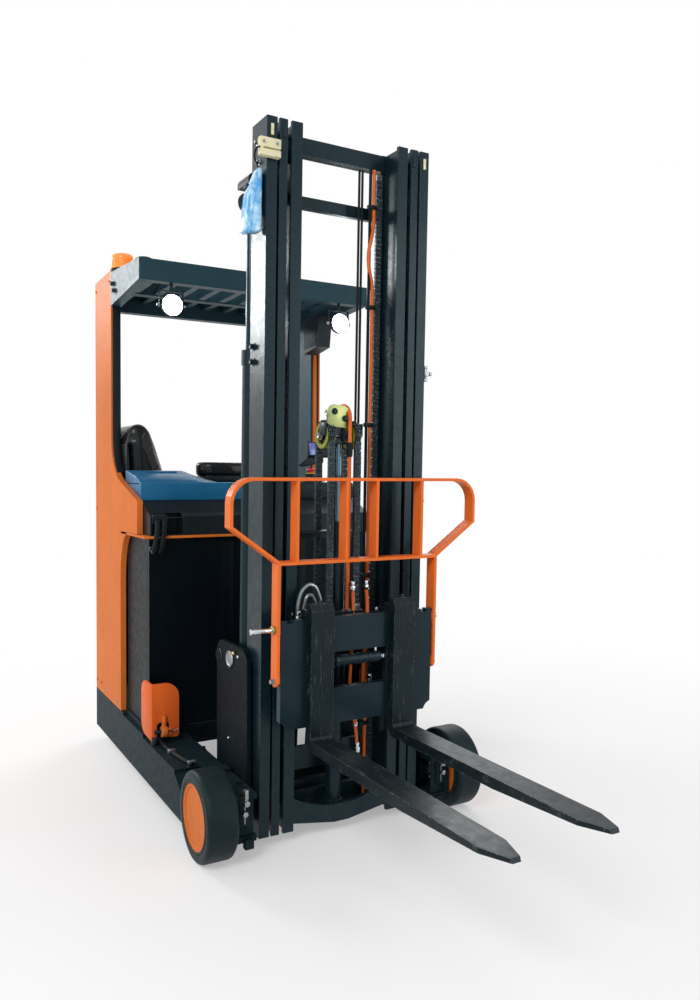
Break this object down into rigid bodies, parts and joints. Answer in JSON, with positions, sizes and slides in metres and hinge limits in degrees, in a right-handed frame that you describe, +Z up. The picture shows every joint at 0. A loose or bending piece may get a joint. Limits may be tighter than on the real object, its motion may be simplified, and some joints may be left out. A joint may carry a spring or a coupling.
{
  "type": "reach truck",
  "caption": "Reach truck with a sideways seat under a slatted guard, a three stage mast that reaches along two legs, side shift, forks and a load guard.",
  "frame": {"origin": "middle of the plan, on the floor", "axes": "+X forwards along the forks, +Y to the truck's left, +Z up"},
  "size_m": [3.055, 1.27, 2.8653],
  "materials": {
    "orange_paint": "satin",
    "guard_paint": "satin",
    "dark_paint": "satin",
    "mast_paint": "satin",
    "battery_case": "satin",
    "blue_cover": "moulded",
    "black_plastic": "moulded",
    "rubber": "matte",
    "tyre": "matte",
    "seat_vinyl": "grained",
    "polished_steel": "polished",
    "bare_steel": "machined",
    "zinc_plate": "yellow zinc",
    "chain_steel": "oiled",
    "orange_hose": "satin",
    "lamp_lens": "clear",
    "amber_lens": "clear",
    "red_plastic": "gloss",
    "cream_plastic": "moulded",
    "blue_film": "film"
  },
  "bodies": {
    "chassis": {"chassis": "dark_paint", "leg_right": "dark_paint", "leg_left": "dark_paint", "battery": "battery_case", "battery_plug": "black_plastic", "battery_cables": "rubber", "battery_locks": "guard_paint", "hood": "dark_paint", "hood_cover": "blue_cover", "hood_strip": "orange_paint", "side_panel_right": "orange_paint", "side_panel_left": "orange_paint", "rear_panel": "orange_paint", "seat_base": "dark_paint", "seat_cushion": "seat_vinyl", "seat_back": "seat_vinyl", "armrest": "black_plastic", "steering_wheel": "black_plastic", "controls": "black_plastic", "emergency_switch": "red_plastic", "overhead_guard": "dark_paint", "work_lights": "lamp_lens", "beacon": "amber_lens", "roof_dome": "black_plastic", "guard_box": "black_plastic"},
    "drive_unit": {"drive_unit": "mast_paint"},
    "drive_wheel": {"drive_hub": "bare_steel", "drive_tyre": "tyre"},
    "load_wheel_right": {"load_hub_right": "orange_paint", "load_tyre_right": "tyre"},
    "load_wheel_left": {"load_hub_left": "orange_paint", "load_tyre_left": "tyre"},
    "reach_carriage": {"reach_carriage": "mast_paint"},
    "tilt_barrels": {"tilt_barrels": "mast_paint"},
    "tilt_rods": {"tilt_rods": "polished_steel"},
    "mast_outer": {"mast_outer": "mast_paint", "lift_barrels": "mast_paint", "mast_lamp": "blue_film", "mast_block": "cream_plastic"},
    "mast_middle": {"mast_middle": "mast_paint", "lift_rods": "polished_steel"},
    "mast_inner": {"mast_inner": "mast_paint", "free_lift_barrel": "mast_paint", "stage_chains": "chain_steel", "mast_hoses": "orange_hose", "anchor_chains": "chain_steel"},
    "free_lift_head": {"free_lift_rod": "polished_steel", "head_sheaves": "zinc_plate"},
    "fork_carriage": {"fork_carriage": "mast_paint", "lift_chains": "chain_steel", "lift_hoses": "orange_hose"},
    "side_shifter": {"side_shifter": "mast_paint", "shift_cylinder": "black_plastic", "fork_right": "mast_paint", "fork_left": "mast_paint", "load_guard": "guard_paint"}
  },
  "joints": [
    {"name": "load_wheel_right_spin", "type": "hinge", "parent": "chassis", "child": "load_wheel_right", "pos_m": [0.1925, -0.5725, 0.175], "axis": [0, 1, 0], "continuous": true},
    {"name": "load_wheel_left_spin", "type": "hinge", "parent": "chassis", "child": "load_wheel_left", "pos_m": [0.1925, 0.5725, 0.175], "axis": [0, 1, 0], "continuous": true},
    {"name": "drive_steer", "type": "hinge", "parent": "chassis", "child": "drive_unit", "pos_m": [-1.2475, -0.15, 0.3], "axis": [0, 0, 1], "range_deg": [-90, 90]},
    {"name": "drive_wheel_spin", "type": "hinge", "parent": "drive_unit", "child": "drive_wheel", "pos_m": [-1.2475, -0.15, 0.172], "axis": [0, 1, 0], "continuous": true},
    {"name": "mast_reach", "type": "slide", "parent": "chassis", "child": "reach_carriage", "axis": [1, 0, 0], "range_m": [-0.38, 0]},
    {"name": "mast_tilt", "type": "hinge", "parent": "reach_carriage", "child": "mast_outer", "pos_m": [0.1225, 0, 0.169], "axis": [0, 1, 0], "range_deg": [-3.33, 0.67]},
    {"name": "tilt_barrel_swing", "type": "hinge", "parent": "reach_carriage", "child": "tilt_barrels", "pos_m": [-0.1455, 0, 0.715], "axis": [0, 1, 0], "range_deg": [-0.51, 2.14]},
    {"name": "tilt_rod_slide", "type": "slide", "parent": "tilt_barrels", "child": "tilt_rods", "axis": [0.9999, 0, 0.0164], "range_m": [-0.0325, 0.0069]},
    {"name": "middle_lift", "type": "slide", "parent": "mast_outer", "child": "mast_middle", "axis": [0.0232, 0, 0.9997], "range_m": [0, 1.85]},
    {"name": "inner_lift", "type": "slide", "parent": "mast_middle", "child": "mast_inner", "axis": [0.0232, 0, 0.9997], "range_m": [0, 1.85], "deforming": ["stage_chains"]},
    {"name": "carriage_lift", "type": "slide", "parent": "mast_inner", "child": "fork_carriage", "axis": [0.0232, 0, 0.9997], "range_m": [-0.39, 1.35], "deforming": ["lift_chains", "lift_hoses"]},
    {"name": "free_rod_lift", "type": "slide", "parent": "mast_inner", "child": "free_lift_head", "axis": [0.0232, 0, 0.9997], "range_m": [-0.2, 0.68], "deforming": ["anchor_chains"]},
    {"name": "side_shift", "type": "slide", "parent": "fork_carriage", "child": "side_shifter", "axis": [0, 1, 0], "range_m": [-0.05, 0.05]}
  ],
  "couplings": [
    {"joint": "inner_lift", "follows": "middle_lift", "ratio": 1},
    {"joint": "free_rod_lift", "follows": "carriage_lift", "ratio": 0.5},
    {"joint": "tilt_barrel_swing", "follows": "mast_tilt", "ratio": -0.6114},
    {"joint": "tilt_rod_slide", "follows": "mast_tilt", "m_per_rad": 0.5503}
  ]
}
